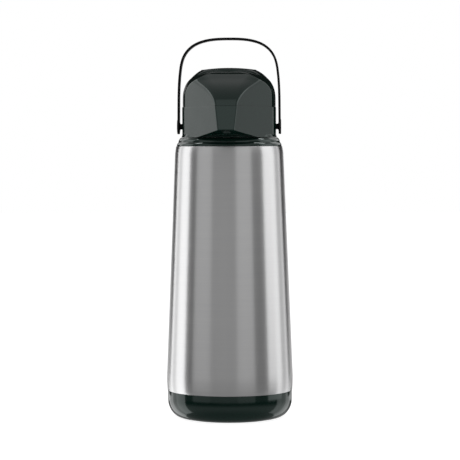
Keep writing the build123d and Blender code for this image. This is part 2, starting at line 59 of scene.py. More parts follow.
# Casing and base, millimetres
CASING_FOOT = ((62.5, 27.8), (63.04, 37.0), (62.88, 47.0))
CASING_SHOULDER = ((54.11, 263.5), (53.62, 267.6), (52.9, 271.5))
CASING_WALL = 0.6

# Pump head, millimetres
LOWER_R = 46.95
UPPER_R = 46.4
SIDE_SLOPE = math.atan(0.545)
SIDE_STEP = 0.47
HEAD_Z = 280.3
SEAM_Z = 310.4
HEAD_WALL = 2.2
PLATE_Z = 295.6
PLUNGER_Z = 326.0
FORM_Z = 300.0
ARCH_FOOT_Z = 312.0
ROOF_Z = 347.4
CROWN_R = 170.0
BEAK_START_Y = -43.0
BEAK_TIP = (-83.0, 286.9)
NOSE_SEAM_Y = -78.2
BUTTON_X = 27.7
BUTTON_Y = 27.0
BUTTON_CORNER = 20.0
BUTTON_TOP = 349.4
BUTTON_DOME = 370.0
PIVOT_Z = 291.0
SIDES = (("right", 1), ("left", -1))
GAP = 0.3
GROOVE = 0.35
TURNS = 640


# ---------------------------------------------------------------- outlines
def arc(a, b, c, steps=14):
    """Points on the circle from a through b to c."""
    (ax, ay), (bx, by), (cx, cy) = a, b, c
    d = 2 * (ax * (by - cy) + bx * (cy - ay) + cx * (ay - by))
    sa, sb, sc = ax**2 + ay**2, bx**2 + by**2, cx**2 + cy**2
    ox = (sa * (by - cy) + sb * (cy - ay) + sc * (ay - by)) / d
    oy = (sa * (cx - bx) + sb * (ax - cx) + sc * (bx - ax)) / d
    radius = math.hypot(ax - ox, ay - oy)
    start = math.atan2(ay - oy, ax - ox)
    middle = (math.atan2(by - oy, bx - ox) - start) % math.tau
    sweep = (math.atan2(cy - oy, cx - ox) - start) % math.tau
    if middle > sweep:
        sweep -= math.tau
    turns = [start + sweep * i / steps for i in range(steps + 1)]
    return [(ox + radius * math.cos(turn), oy + radius * math.sin(turn)) for turn in turns]


def rounded(corners, steps=5):
    """Outline through (r, z, fillet) corners; a corner with a fillet becomes an arc."""
    points = []
    for i, (x, y, fillet) in enumerate(corners):
        here = Vector((x, y))
        if not fillet:
            points.append((x, y))
            continue
        before = (Vector(corners[i - 1][:2]) - here).normalized()
        after = (Vector(corners[(i + 1) % len(corners)][:2]) - here).normalized()
        half = before.angle(after) / 2
        centre = here + (before + after).normalized() * (fillet / math.sin(half))
        start = here + before * (fillet / math.tan(half)) - centre
        end = here + after * (fillet / math.tan(half)) - centre
        for step in range(steps + 1):
            points.append(tuple(centre + start.slerp(end, step / steps).normalized() * fillet))
    return points


class Curve:
    """Cubic spline through (u, v) points, with fixed or free slopes at its ends."""

    def __init__(self, points, slopes=(None, None)):
        self.u, self.v = np.array(sorted(points)).T
        gaps = np.diff(self.u)
        rises = np.diff(self.v) / gaps
        size = len(self.u)
        system = np.zeros((size, size))
        right = np.zeros(size)
        for i in range(1, size - 1):
            system[i, i - 1 : i + 2] = (gaps[i - 1], 2 * (gaps[i - 1] + gaps[i]), gaps[i])
            right[i] = 6 * (rises[i] - rises[i - 1])
        for end, other, slope, gap, rise in (
            (0, 1, slopes[0], gaps[0], rises[0]),
            (size - 1, size - 2, slopes[1], gaps[-1], rises[-1]),
        ):
            system[end, end] = 1.0
            if slope is not None:
                system[end, end], system[end, other] = 2 * gap, gap
                right[end] = 6 * (rise - slope) * (1 if end == 0 else -1)
        self.bend = np.linalg.solve(system, right)

    def __call__(self, at):
        at = np.clip(at, self.u[0], self.u[-1])
        i = np.clip(np.searchsorted(self.u, at) - 1, 0, len(self.u) - 2)
        h = self.u[i + 1] - self.u[i]
        a = (self.u[i + 1] - at) / h
        b = 1 - a
        curl = (a**3 - a) * self.bend[i] + (b**3 - b) * self.bend[i + 1]
        return a * self.v[i] + b * self.v[i + 1] + curl * h**2 / 6


def polar(points, centre):
    """(angle, distance) of (u, v) points about a centre."""
    return [
        (math.atan2(v - centre[1], u - centre[0]), math.hypot(u - centre[0], v - centre[1]))
        for u, v in points
    ]


# ---------------------------------------------------------------- mesh helpers
def add_piece(name, vertices, faces, look, body, slot, replaced=(), crease=32.0):
    """Make a mesh piece in metres, smooth but for edges sharper than crease, riding on a body."""
    mesh = bpy.data.meshes.new(name)
    mesh.from_pydata((np.asarray(vertices) * MM).tolist(), [], faces)
    piece = bpy.data.objects.new(name, mesh)
    bpy.context.scene.collection.objects.link(piece)
    mesh.materials.append(look)
    soften(piece, crease)
    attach(piece, body)
    if replaced:
        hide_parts(*replaced)
    return piece


def soften(piece, crease):
    """Outward normals, smooth faces, and sharp edges where the surface turns by more than crease."""
    work = bmesh.new()
    work.from_mesh(piece.data)
    bmesh.ops.recalc_face_normals(work, faces=work.faces)
    for face in work.faces:
        face.smooth = True
    for edge in work.edges:
        if edge.is_manifold:
            edge.smooth = edge.calc_face_angle() < math.radians(crease)
    work.to_mesh(piece.data)
    work.free()


def ring_faces(rows, columns):
    """Quads of a closed skin whose rows close on themselves both ways."""
    faces = []
    for i in range(rows):
        j = (i + 1) % rows
        for k in range(columns):
            m = (k + 1) % columns
            faces.append((i * columns + k, i * columns + m, j * columns + m, j * columns + k))
    return faces


def sweep_faces(rows, columns):
    """End caps and side quads of a closed section carried along rows."""
    last = (rows - 1) * columns
    faces = [tuple(range(columns)), tuple(range(last, last + columns))]
    for i in range(0, last, columns):
        for k in range(columns):
            m = (k + 1) % columns
            faces.append((i + k, i + m, i + columns + m, i + columns + k))
    return faces


def lathe(outline, columns=192):
    """Vertices and faces of a closed (r, z) outline turned about Z."""
    turn = np.linspace(0, math.tau, columns, endpoint=False)
    rows = [np.stack([r * np.cos(turn), r * np.sin(turn), np.full(columns, z)], axis=1) for r, z in outline]
    return np.concatenate(rows), ring_faces(len(rows), columns)


def cut_box(piece, centre, size, rounding=0.4):
    """Cut a soft-cornered box out of a piece."""
    work = bmesh.new()
    bmesh.ops.create_cube(work, size=1.0)
    bmesh.ops.scale(work, vec=Vector(size) * MM, verts=work.verts)
    bmesh.ops.translate(work, vec=Vector(centre) * MM, verts=work.verts)
    bmesh.ops.bevel(work, geom=work.edges[:], offset=rounding * MM, segments=3, affect="EDGES", profile=0.5)
    mesh = bpy.data.meshes.new("cutter")
    work.to_mesh(mesh)
    work.free()
    cutter = bpy.data.objects.new("cutter", mesh)
    bpy.context.scene.collection.objects.link(cutter)
    modifier = piece.modifiers.new("cut", "BOOLEAN")
    modifier.object = cutter
    modifier.operation = "DIFFERENCE"
    modifier.solver = "EXACT"
    bpy.context.view_layer.update()
    shaped = piece.evaluated_get(bpy.context.evaluated_depsgraph_get())
    result = bpy.data.meshes.new_from_object(shaped)
    piece.modifiers.clear()
    old = piece.data
    piece.data = result
    result.name = piece.name
    bpy.data.meshes.remove(old)
    bpy.data.objects.remove(cutter)
    bpy.data.meshes.remove(mesh)


# ---------------------------------------------------------------- node helpers
def new_material(name):
    """A material with its tree and its Principled shader."""
    material = bpy.data.materials.new(name)
    material.use_nodes = True
    tree = material.node_tree
    return material, tree, tree.nodes["Principled BSDF"]


def node(tree, kind, **settings):
    """A node of that kind with its properties set."""
    made = tree.nodes.new(kind)
    for key, value in settings.items():
        setattr(made, key, value)
    return made


def feed(tree, socket, value):
    """Link a socket to an input, or set its number."""
    if isinstance(value, (int, float, tuple)):
        socket.default_value = value
    else:
        tree.links.new(value, socket)


def calc(tree, operation, *values):
    """Output of a Math node fed by sockets or numbers."""
    made = node(tree, "ShaderNodeMath", operation=operation)
    for socket, value in zip(made.inputs, values):
        feed(tree, socket, value)
    return made.outputs[0]


def span(tree, value, from_low, from_high, to_low, to_high, smooth=False):
    """Output of a clamped Map Range node."""
    made = node(tree, "ShaderNodeMapRange", interpolation_type="SMOOTHSTEP" if smooth else "LINEAR")
    feed(tree, made.inputs["Value"], value)
    feed(tree, made.inputs["From Min"], from_low)
    feed(tree, made.inputs["From Max"], from_high)
    feed(tree, made.inputs["To Min"], to_low)
    feed(tree, made.inputs["To Max"], to_high)
    return made.outputs["Result"]


def noise(tree, vector, scale, detail=3.0, rough=0.5):
    """Noise value over a vector."""
    made = node(tree, "ShaderNodeTexNoise")
    feed(tree, made.inputs["Vector"], vector)
    feed(tree, made.inputs["Scale"], scale)
    feed(tree, made.inputs["Detail"], detail)
    feed(tree, made.inputs["Roughness"], rough)
    return made.outputs["Fac"]


def blend_colour(tree, factor, a, b):
    """Colour mixed from a to b by a factor; a and b are colours or sockets."""
    made = node(tree, "ShaderNodeMix", data_type="RGBA")
    feed(tree, made.inputs[0], factor)
    for socket, colour in ((made.inputs[6], a), (made.inputs[7], b)):
        feed(tree, socket, (*colour, 1.0) if isinstance(colour, tuple) else colour)
    return made.outputs[2]


def relief(tree, shader, *layers):
    """Stack of bumps: each layer is (height, strength, distance in metres)."""
    below = None
    for height, strength, distance in layers:
        made = node(tree, "ShaderNodeBump")
        feed(tree, made.inputs["Height"], height)
        feed(tree, made.inputs["Strength"], strength)
        feed(tree, made.inputs["Distance"], distance)
        if below is not None:
            tree.links.new(below, made.inputs["Normal"])
        below = made.outputs["Normal"]
    tree.links.new(below, shader.inputs["Normal"])


def object_place(tree):
    """Object-space position in metres."""
    return node(tree, "ShaderNodeTexCoord").outputs["Object"]


# ---------------------------------------------------------------- materials
def brushed_steel():
    """Stainless sheet brushed round the body: crisp reflections sideways, soft ones up and down."""
    material, tree, shader = new_material("brushed_steel")
    place = object_place(tree)
    parts = node(tree, "ShaderNodeSeparateXYZ")
    tree.links.new(place, parts.inputs[0])
    x, y, z = parts.outputs
    angle = calc(tree, "ARCTAN2", y, x)
    grain = node(tree, "ShaderNodeCombineXYZ")
    feed(tree, grain.inputs["X"], calc(tree, "MULTIPLY", calc(tree, "SINE", angle), 0.9))
    feed(tree, grain.inputs["Y"], calc(tree, "MULTIPLY", calc(tree, "COSINE", angle), 0.9))
    feed(tree, grain.inputs["Z"], calc(tree, "MULTIPLY", z, 1400.0))
    fine = noise(tree, grain.outputs[0], 1.0, 4.0, 0.7)
    coarse = node(tree, "ShaderNodeVectorMath", operation="MULTIPLY")
    tree.links.new(grain.outputs[0], coarse.inputs[0])
    coarse.inputs[1].default_value = (0.7, 0.7, 0.16)
    bands = noise(tree, coarse.outputs[0], 1.0, 3.0, 0.6)
    streaks = calc(tree, "ADD", calc(tree, "MULTIPLY", fine, 0.6), calc(tree, "MULTIPLY", bands, 0.4))
    tone = span(tree, streaks, 0.35, 0.65, 0.0, 1.0)
    colour = blend_colour(tree, tone, (0.615, 0.615, 0.62), (0.645, 0.645, 0.645))
    tree.links.new(colour, shader.inputs["Base Color"])
    tree.links.new(span(tree, streaks, 0.35, 0.65, 0.285, 0.315), shader.inputs["Roughness"])
    shader.inputs["Metallic"].default_value = 1.0
    shader.inputs["Anisotropic"].default_value = 0.85
    shader.inputs["Anisotropic Rotation"].default_value = 0.25
    tangent = node(tree, "ShaderNodeTangent", direction_type="RADIAL", axis="Z")
    tree.links.new(tangent.outputs[0], shader.inputs["Tangent"])
    relief(tree, shader, (fine, 0.02, 0.0001))
    return material


def moulded(name, dark, light, gloss, skin=900.0, skin_depth=0.03, waves=0.0, specular=0.5, tint=None):
    """Moulded plastic or rubber: colour drift, uneven gloss, skin grain and slow surface waves."""
    material, tree, shader = new_material(name)
    place = object_place(tree)
    drift = span(tree, noise(tree, place, 18.0, 2.0), 0.35, 0.65, 0.0, 1.0)
    smudges = noise(tree, place, 55.0, 5.0, 0.62)
    tree.links.new(blend_colour(tree, drift, dark, light), shader.inputs["Base Color"])
    tree.links.new(span(tree, smudges, 0.3, 0.7, *gloss), shader.inputs["Roughness"])
    shader.inputs["Specular IOR Level"].default_value = specular
    if tint:
        shader.inputs["Specular Tint"].default_value = tint
    layers = [(noise(tree, place, skin, 2.0), skin_depth, 0.0001)]
    if waves:
        layers.append((noise(tree, place, 30.0, 1.0), waves, 0.001))
    relief(tree, shader, *layers)
    return material


def milky(name, colour, gloss, see_through):
    """Translucent moulding such as the dip tube."""
    material, tree, shader = new_material(name)
    place = object_place(tree)
    cloud = span(tree, noise(tree, place, 40.0, 3.0), 0.3, 0.7, 0.0, 1.0)
    pale = tuple(min(1.0, c * 1.08) for c in colour)
    tree.links.new(blend_colour(tree, cloud, colour, pale), shader.inputs["Base Color"])
    tree.links.new(span(tree, cloud, 0.0, 1.0, *gloss), shader.inputs["Roughness"])
    shader.inputs["Transmission Weight"].default_value = see_through
    relief(tree, shader, (noise(tree, place, 600.0, 2.0), 0.04, 0.0001))
    return material


def metal(name, dark, light, gloss, scratch=700.0):
    """Bright metal with fine marks."""
    material, tree, shader = new_material(name)
    place = object_place(tree)
    marks = span(tree, noise(tree, place, scratch, 4.0, 0.6), 0.35, 0.65, 0.0, 1.0)
    tree.links.new(blend_colour(tree, marks, dark, light), shader.inputs["Base Color"])
    tree.links.new(span(tree, marks, 0.0, 1.0, *gloss), shader.inputs["Roughness"])
    shader.inputs["Metallic"].default_value = 1.0
    relief(tree, shader, (marks, 0.03, 0.0001))
    return material


GREEN_BLACK = ((0.0015, 0.0075, 0.0055), (0.0021, 0.0088, 0.0066))
SATIN_BLACK = ((0.0015, 0.0015, 0.0015), (0.0025, 0.0025, 0.0025))
GREEN_GLOSS = (0.86, 1.0, 0.97, 1.0)
WAXY_BLACK = ((0.010, 0.011, 0.011), (0.014, 0.015, 0.015))
RUBBER_BLACK = ((0.014, 0.014, 0.014), (0.022, 0.022, 0.022))
OFF_WHITE = ((0.56, 0.56, 0.54), (0.63, 0.63, 0.61))
SOFT_WHITE = ((0.62, 0.62, 0.60), (0.70, 0.70, 0.68))
PALE_GREY = ((0.46, 0.46, 0.45), (0.55, 0.55, 0.53))
FIBRE_BROWN = ((0.30, 0.27, 0.22), (0.42, 0.39, 0.33))
SILVER = ((0.74, 0.75, 0.76), (0.82, 0.83, 0.83))
STEEL_GREY = ((0.55, 0.55, 0.55), (0.68, 0.68, 0.67))
LOOKS = {
    "steel": brushed_steel(),
    "gloss_black": moulded("gloss_black", *GREEN_BLACK, (0.09, 0.13), waves=0.02, tint=GREEN_GLOSS),
    "button_black": moulded("button_black", *GREEN_BLACK, (0.10, 0.15), waves=0.02, tint=GREEN_GLOSS),
    "handle_black": moulded("handle_black", *SATIN_BLACK, (0.34, 0.42), 300.0, 0.02, specular=0.16),
    "pivot_black": moulded("pivot_black", *SATIN_BLACK, (0.34, 0.42), 300.0, 0.02, specular=0.16),
    "black_plastic": moulded("black_plastic", *WAXY_BLACK, (0.38, 0.5), 420, 0.1),
    "rubber": moulded("black_rubber", *RUBBER_BLACK, (0.7, 0.86), 380, 0.25),
    "inner_plastic": moulded("off_white_plastic", *OFF_WHITE, (0.32, 0.45), 600, 0.05),
    "bellows_plastic": moulded("soft_white_plastic", *SOFT_WHITE, (0.4, 0.55), 500, 0.06),
    "silicone": moulded("grey_silicone", *PALE_GREY, (0.5, 0.66), 450, 0.08),
    "spacer_pad": moulded("pressed_fibre", *FIBRE_BROWN, (0.85, 0.95), 260, 0.5),
    "clear_plastic": milky("milky_plastic", (0.78, 0.80, 0.80), (0.16, 0.26), 0.45),
    "silvered_glass": metal("silvered_glass", *SILVER, (0.04, 0.09), 90.0),
    "bright_steel": metal("bright_steel", *STEEL_GREY, (0.16, 0.28)),
}
SLOTS = {row["node"]: row["material_slot"] for row in frame["record"]["subparts"]}
for name, thing in frame["nodes"].items():
    thing.data.materials.clear()
    thing.data.materials.append(LOOKS[SLOTS[name]])


def add_glossy(name, vertices, faces, body, replaced=()):
    """Make a piece of the glossy green-black plastic."""
    return add_piece(name, vertices, faces, LOOKS["gloss_black"], body, "gloss_black", replaced)


# ---------------------------------------------------------------- vessel
def steel_sleeve():
    """Casing: barrelled foot, long cone, rolled shoulder and both inward flanges."""
    outer = arc(*CASING_FOOT) + arc(*CASING_SHOULDER)
    inner = [(r - CASING_WALL, z) for r, z in outer]
    trim = 3  # points at each end that make way for the rolled edges
    low_r, low_z = outer[0]
    top_r, top_z = outer[-1]
    bottom = rounded(
        [(60.6, low_z + CASING_WALL, 0), (60.6, low_z, 0.2), (low_r, low_z, 0.45), (*outer[trim], 0)]
    )
    lip = rounded(
        [(*outer[-trim], 0), (top_r, top_z, 0.5), (49.5, top_z, 0.2), (49.5, top_z - CASING_WALL, 0)]
    )
    outline = bottom[:-1] + outer[trim:-trim] + lip[1:] + list(reversed(inner[trim:-trim]))
    add_piece("steel_sleeve", *lathe(outline, 320), LOOKS["steel"], "vessel", "steel", ["outer_casing"])


def glossy_cup():
    """Base cup: upright wall that turns under in a long soft curve, boss for the cap inside."""
    turn = np.linspace(0, math.pi / 2, 25)
    outer = [(47.3 + 15.0 * math.sin(t), 19.6 - 19.0 * math.cos(t)) for t in turn]
    inner = [(45.0 + 14.9 * math.sin(t), 20.0 - 17.0 * math.cos(t)) for t in reversed(turn)]
    rim = rounded(
        [(62.3, 20.0, 0), (62.3, 27.8, 0.35), (60.4, 27.8, 0), (60.4, 40.0, 0.5), (58.4, 40.0, 0.5)]
    )
    wall = [(58.4, 26.0), (59.9, 24.5)]
    boss = rounded(
        [(45.0, 3.0, 0), (27.0, 3.0, 0.5), (27.0, 10.0, 0.6), (24.0, 10.0, 0.3), (24.0, 0.6, 0.4)]
    )
    groove = [(38.0, 0.6), (38.0, 1.6), (46.0, 1.6), (46.0, 0.6)]
    outline = outer + rim[1:] + wall + inner[:-1] + boss[1:] + groove
    add_glossy("glossy_cup", *lathe(outline, 256), "vessel", ["base_cup"])


def ribbed_collar():
    """Collar with two rounded ribs between casing and head."""
    low = arc((52.4, 271.5), (52.05, 273.6), (50.75, 275.3))
    high = arc((50.75, 275.3), (50.1, 278.0), (48.3, 280.0))
    inside = rounded(
        [
            (48.0, 280.0, 0), (45.0, 280.0, 0.4), (45.0, 268.0, 0),
            (38.2, 268.0, 0.3), (38.2, 264.0, 0), (49.2, 264.0, 0),
        ]
    )
    outline = low + high[1:] + inside + [(49.2, 271.5)]
    add_glossy("ribbed_collar", *lathe(outline, 256), "vessel", ["collar_ring"])


# ---------------------------------------------------------------- pump head
def smooth_max(a, b, width):
    """Larger of two fields, rounded off where they cross within width."""
    mix = np.clip(0.5 + 0.5 * (a - b) / width, 0.0, 1.0)
    return b * (1 - mix) + a * mix + width * mix * (1 - mix)


def flank_field(x, y, radius):
    """Distance outside the two flat sides that run to the nose."""
    return np.abs(x) * math.cos(SIDE_SLOPE) - y * math.sin(SIDE_SLOPE) - (radius - SIDE_STEP)


def round_field(x, y, radius):
    """Distance outside the round back; everything in front of the creases counts as inside."""
    reach = radius - SIDE_STEP
    back = math.sqrt(radius**2 - reach**2)
    crease_y = -reach * math.sin(SIDE_SLOPE) + back * math.cos(SIDE_SLOPE)
    return np.minimum(np.hypot(x, y) - radius, y - crease_y)


ARCH = Curve(
    polar(
        [
            (UPPER_R, ARCH_FOOT_Z), (45.6, 326.3), (43.5, 332.3), (39.15, 338.3),
            (33.6, 342.3), (26.0, 345.4), (0, ROOF_Z),
        ],
        (0, ARCH_FOOT_Z),
    ),
    slopes=(0, 0),
)
BROW_CENTRE = (24.0, FORM_Z)
BROW_END = (30.0, 344.8)
BROW_SLOPE = 0.46
BROW = Curve(
    polar(
        [
            (79.9, 300.0), (77.7, SEAM_Z), (73.2, 318.6), (66.6, 325.2),
            (57.6, 331.2), (46.0, 337.1), BROW_END,
        ],
        BROW_CENTRE,
    )
)


def roof_field(x, y, z):
    """Distance outside the arched roof: turned at the back, swept over the crown in front."""
    across = np.where(y >= 0, np.hypot(x, y), np.abs(x) * (1 - 0.004 * y))
    crown_z = ROOF_Z - CROWN_R
    up = np.where(y >= 0, z, crown_z + np.hypot(y, z - crown_z)) - ARCH_FOOT_Z
    return np.where(up > 0, np.hypot(across, up) - ARCH(np.arctan2(up, across)), across - UPPER_R)


def brow_field(y, z):
    """Distance outside the nose and brow."""
    forward = -y - BROW_CENTRE[0]
    up = z - BROW_CENTRE[1]
    turn = np.arctan2(up, forward)
    line = (z - BROW_END[1] - BROW_SLOPE * (y + BROW_END[0])) / math.hypot(1, BROW_SLOPE)
    return np.where(turn > BROW.u[-1], line, np.hypot(forward, up) - BROW(turn))


def upper_field(p):
    """Distance outside the upper shell's form."""
    x, y, z = p[..., 0], p[..., 1], p[..., 2]
    rise = np.clip((z - 312.0) / 24.0, 0.0, 1.0)
    front = smooth_max(flank_field(x, y, UPPER_R), brow_field(y, z), 1.6 + 8.0 * rise**1.3)
    back = smooth_max(round_field(x, y, UPPER_R), roof_field(x, y, z), 0.01 + np.clip(-y / 8.0, 0.0, 1.6))
    return smooth_max(front, back, 0.5)


def lower_field(p):
    """Distance outside the lower shell's form."""
    x, y, z = p[..., 0], p[..., 1], p[..., 2]
    run = NOSE_SEAM_Y - BEAK_TIP[0]
    rise = SEAM_Z - BEAK_TIP[1]
    length = math.hypot(run, rise)
    nose = (-(y - NOSE_SEAM_Y) * rise + (z - SEAM_Z) * run) / length
    front = smooth_max(flank_field(x, y, LOWER_R), nose, 1.3)
    return smooth_max(front, round_field(x, y, LOWER_R), 0.5)


def cast(field, start, heading, reach=140.0, inset=0.0):
    """Points where rays from start along heading leave the form, inset from its surface."""
    near = np.zeros(heading.shape[:-1])
    far = np.full(heading.shape[:-1], reach)
    for _ in range(34):
        middle = (near + far) / 2
        outside = field(start + heading * middle[..., None]) > -inset
        far = np.where(outside, middle, far)
        near = np.where(outside, near, middle)
    return start + heading * ((near + far) / 2)[..., None]


def headings():
    """Level unit vectors round the head, closer together at the beak."""
    turn = np.linspace(0, math.tau, TURNS, endpoint=False)
    turn = turn - 0.45 * np.sin(turn)
    return np.stack([np.sin(turn), -np.cos(turn), np.zeros(TURNS)], axis=1)


def opening_radius(heading, grow):
    """Distance from the axis to the button opening's outline grown by grow, along level headings."""
    grow = grow * np.ones(len(heading))
    half = np.stack([BUTTON_X + grow, BUTTON_Y + grow], axis=1)
    corner = BUTTON_CORNER + grow
    low = np.zeros(len(heading))
    high = np.full(len(heading), 60.0)
    for _ in range(34):
        middle = (low + high) / 2
        apart = np.abs(heading[:, :2]) * middle[:, None] - (half - corner[:, None])
        outside = np.hypot(*np.maximum(apart, 0).T) + np.minimum(apart.max(axis=1), 0) > corner
        high = np.where(outside, middle, high)
        low = np.where(outside, low, middle)
    return (low + high) / 2


def at_height(points, z):
    """Copy of points moved to height z."""
    moved = points.copy()
    moved[:, 2] = z
    return moved


def upper_shell():
    """Upper shell: arched roof, soft trumpet creases, groove at the seam and rim round the button."""
    heading = headings()
    rise = np.array([0.0, 0.0, 1.0])
    centre = np.array([0.0, 0.0, FORM_Z])
    seam = cast(upper_field, np.array([0.0, 0.0, SEAM_Z + GROOVE]), heading)
    seam_in = cast(upper_field, np.array([0.0, 0.0, SEAM_Z]), heading, inset=GROOVE)

    def roof_above(grow):
        level = heading * opening_radius(heading, grow)[:, None]
        return cast(upper_field, level + rise * 320.0, np.tile(rise, (TURNS, 1)), reach=60.0)

    top = roof_above(GAP + 0.5)
    low_ray = (seam - centre) / np.linalg.norm(seam - centre, axis=1)[:, None]
    top_ray = (top - centre) / np.linalg.norm(top - centre, axis=1)[:, None]
    seam_lip = cast(upper_field, seam_in, heading, reach=2.0, inset=GROOVE * 0.3)
    rows = [seam_in, at_height(seam_lip, SEAM_Z + 0.1)]
    steps = 92
    for step in range(steps + 1):
        ray = low_ray * (1 - step / steps) + top_ray * (step / steps)
        rows.append(cast(upper_field, centre, ray / np.linalg.norm(ray, axis=1)[:, None]))
    edge = heading * opening_radius(heading, GAP)[:, None]
    rows.append((heading * opening_radius(heading, GAP + 0.15)[:, None]) + rise * (top[:, 2:] - 0.12))
    rows.append(edge + rise * (top[:, 2:] - 0.5))
    rows.append(edge + rise * 328.0)
    rows.append(heading * opening_radius(heading, GAP + 1.6)[:, None] + rise * 328.0)
    scale = 1 - HEAD_WALL / UPPER_R
    for step in range(0, steps + 1, 4):
        inner = centre + (rows[steps + 2 - step] - centre) * scale
        inner[:, 2] = np.maximum(inner[:, 2], SEAM_Z)
        rows.append(inner)
    faces = ring_faces(len(rows), TURNS)
    cover = add_glossy("upper_shell", np.concatenate(rows), faces, "pump_head", ["head_cover"])
    # Slot for the lock, through the round back and the wall of the button opening
    cut_box(cover, (0, 38.0, 331.7), (12.8, 28.0, 4.0), 0.6)
    soften(cover, 32.0)


def button_bezel():
    """Raised lip round the button: broad shoulders left and right, narrow in front and behind."""
    heading = headings()
    rise = np.array([0.0, 0.0, 1.0])
    broad = heading[:, 0] ** 2
    inner_radius = opening_radius(heading, GAP + 0.15)
    outer_radius = opening_radius(heading, 1.8 + 9.0 * broad)
    up = np.tile(rise, (TURNS, 1))
    outer = cast(upper_field, heading * outer_radius[:, None] + rise * 320.0, up, reach=60.0)
    inner = heading * inner_radius[:, None]
    inner[:, 2] = BUTTON_TOP - inner_radius**2 / BUTTON_DOME - 0.45
    rows = [inner - rise * 4.5, inner - rise * 0.2]
    for step in range(1, 12):
        share = step / 12
        point = inner * (1 - share) + outer * share
        point[:, 2] += 0.8 * np.sin(math.pi * share) * broad
        rows.append(point)
    rows += [outer - rise * 0.25, outer - rise * 1.2]
    add_glossy("button_bezel", np.concatenate(rows), ring_faces(len(rows), TURNS), "pump_head")


def lower_shell():
    """Lower shell: leaning nose, flat flanks and the front edge that rises to the beak's tip."""
    heading = headings()
    slope = (BEAK_TIP[1] - HEAD_Z) / (BEAK_START_Y - BEAK_TIP[0])

    def skin(height, inset=0.0):
        start = np.stack([np.zeros(TURNS), np.zeros(TURNS), height], axis=1)
        return cast(lower_field, start, heading, inset=inset)

    foot = np.full(TURNS, HEAD_Z)
    for _ in range(12):
        foot = HEAD_Z + slope * np.maximum(BEAK_START_Y - skin(foot)[:, 1], 0.0)
    top = np.full(TURNS, SEAM_Z)
    rows = [skin(foot, 0.35), skin(foot + 0.1, 0.1)]
    steps = 30
    for step in range(steps + 1):
        share = step / steps
        rows.append(skin((foot + 0.35) * (1 - share) + (top - GROOVE) * share))
    rows.append(at_height(skin(top, GROOVE * 0.3), SEAM_Z - 0.1))
    rows.append(skin(top, GROOVE))
    rows.append(skin(top, HEAD_WALL))
    rows.append(skin((foot + top) / 2, HEAD_WALL))
    rows.append(skin(foot, HEAD_WALL))
    faces = ring_faces(len(rows), TURNS)
    add_glossy("lower_shell", np.concatenate(rows), faces, "pump_head", ["head_body"])


def head_foot():
    """Flared foot of the lower shell, level with the collar."""
    outline = rounded(
        [(44.7, HEAD_Z, 0), (47.7, HEAD_Z, 0.2), (47.6, 281.0, 0), (46.7, 283.3, 0), (44.7, 283.3, 0)]
    )
    add_glossy("head_foot", *lathe(outline, 256), "pump_head")


def lathe_on_pivot(outline, sign):
    """Vertices and faces of a closed (r, x) outline turned about the bail's axis, on one side."""
    points, faces = lathe(outline, 64)
    return np.stack([points[:, 2] * sign, points[:, 0], points[:, 1] + PIVOT_Z], axis=1), faces


def bail():
    """Bail: flat strap with soft edges, bowed over the head, with a drilled eye at each end."""
    thick, width, soft = 2.3, 11.0, 0.8
    bow = [(50.5, PIVOT_Z), (48.6, 346.0), (44.4, 361.9), (35.8, 371.3), (24.4, 376.1), (0.0, 378.25)]
    bow = bow + [(-x, z) for x, z in reversed(bow[:-1])]
    run = np.concatenate([[0.0], np.cumsum(np.hypot(*np.diff(np.array(bow), axis=0).T))])
    along_x = Curve([(u, x) for u, (x, _) in zip(run, bow)], slopes=(-0.028, -0.028))
    along_z = Curve([(u, z) for u, (_, z) in zip(run, bow)], slopes=(1.0, -1.0))
    at = np.linspace(0.0, run[-1], 150)
    line = np.stack([along_x(at), along_z(at)], axis=1)
    ahead = np.gradient(line, axis=0)
    ahead /= np.linalg.norm(ahead, axis=1)[:, None]
    side = np.stack([ahead[:, 1], -ahead[:, 0]], axis=1)
    half_t, half_w = thick / 2, width / 2
    section = rounded(
        [(-half_t, -half_w, soft), (half_t, -half_w, soft), (half_t, half_w, soft), (-half_t, half_w, soft)]
    )
    vertices = []
    for (x, z), (sx, sz) in zip(line, side):
        vertices += [(x + sx * t, w, z + sz * t) for t, w in section]
    faces = sweep_faces(len(line), len(section))
    add_piece("bail_strap", vertices, faces, LOOKS["handle_black"], "bail", "handle_black", ["handle"])
    eye = rounded([(3.05, 49.35, 0.25), (7.5, 49.35, 0.7), (7.5, 51.85, 0.7), (3.05, 51.85, 0.25)])
    for side_name, sign in SIDES:
        points, ring = lathe_on_pivot(eye, sign)
        add_piece(f"bail_eye_{side_name}", points, ring, LOOKS["handle_black"], "bail", "handle_black")


def pivot_pins():
    """Waisted pins between head and bail, each with a dished stud in the bail's eye."""
    waist = arc((4.7, 46.6), (2.7, 47.8), (4.7, 49.0), 10)
    stud = rounded([(3.0, 49.0, 0), (3.0, 51.8, 0.3), (2.0, 51.8, 0.3), (1.2, 51.2, 0.3), (0.05, 51.2, 0)])
    outline = [(0.05, 42.4), (5.8, 42.4), (5.8, 44.2), (3.7, 44.2), (3.7, 46.6)] + waist + stud
    for side_name, sign in SIDES:
        points, ring = lathe_on_pivot(outline, sign)
        add_piece(
            f"waisted_pin_{side_name}", points, ring, LOOKS["pivot_black"], "pump_head", "pivot_black",
            [f"pivot_pin_{side_name}"],
        )


steel_sleeve()
glossy_cup()
ribbed_collar()
upper_shell()
button_bezel()
lower_shell()
head_foot()
bail()
pivot_pins()



# ---------------------------------------------------------------- pump
def shorten(piece):
    """Give a piece of the pump its own copy of its mesh."""
    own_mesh(piece)


